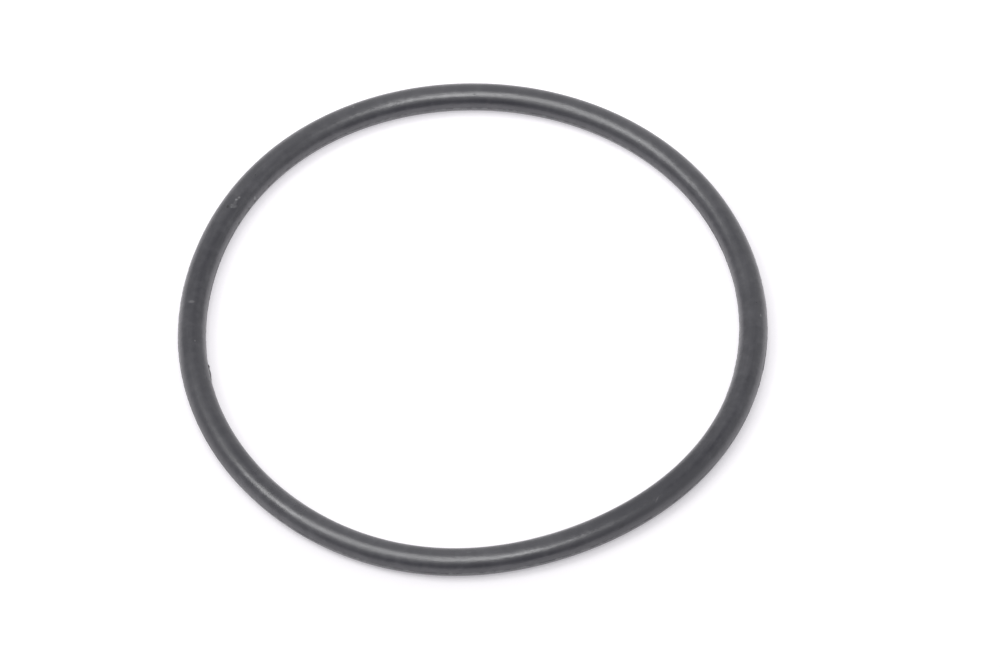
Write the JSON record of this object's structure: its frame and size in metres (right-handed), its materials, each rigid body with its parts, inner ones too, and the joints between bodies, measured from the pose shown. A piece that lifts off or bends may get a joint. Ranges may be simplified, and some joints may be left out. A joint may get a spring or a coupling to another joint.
{
  "type": "rubber o-ring",
  "caption": "Black rubber o-ring: a thin round-section sealing ring with a fine parting line, lying flat.",
  "frame": {"origin": "middle of the ring, on the surface that it lies on", "axes": "+Z is the ring's own axis, pointing up as it lies; X and Y are any two directions across the ring"},
  "size_m": [0.0558, 0.0558, 0.0026],
  "materials": {
    "rubber": "satin black, with a fine matt grain"
  },
  "bodies": {
    "root": {"o_ring": "rubber"}
  },
  "joints": []
}
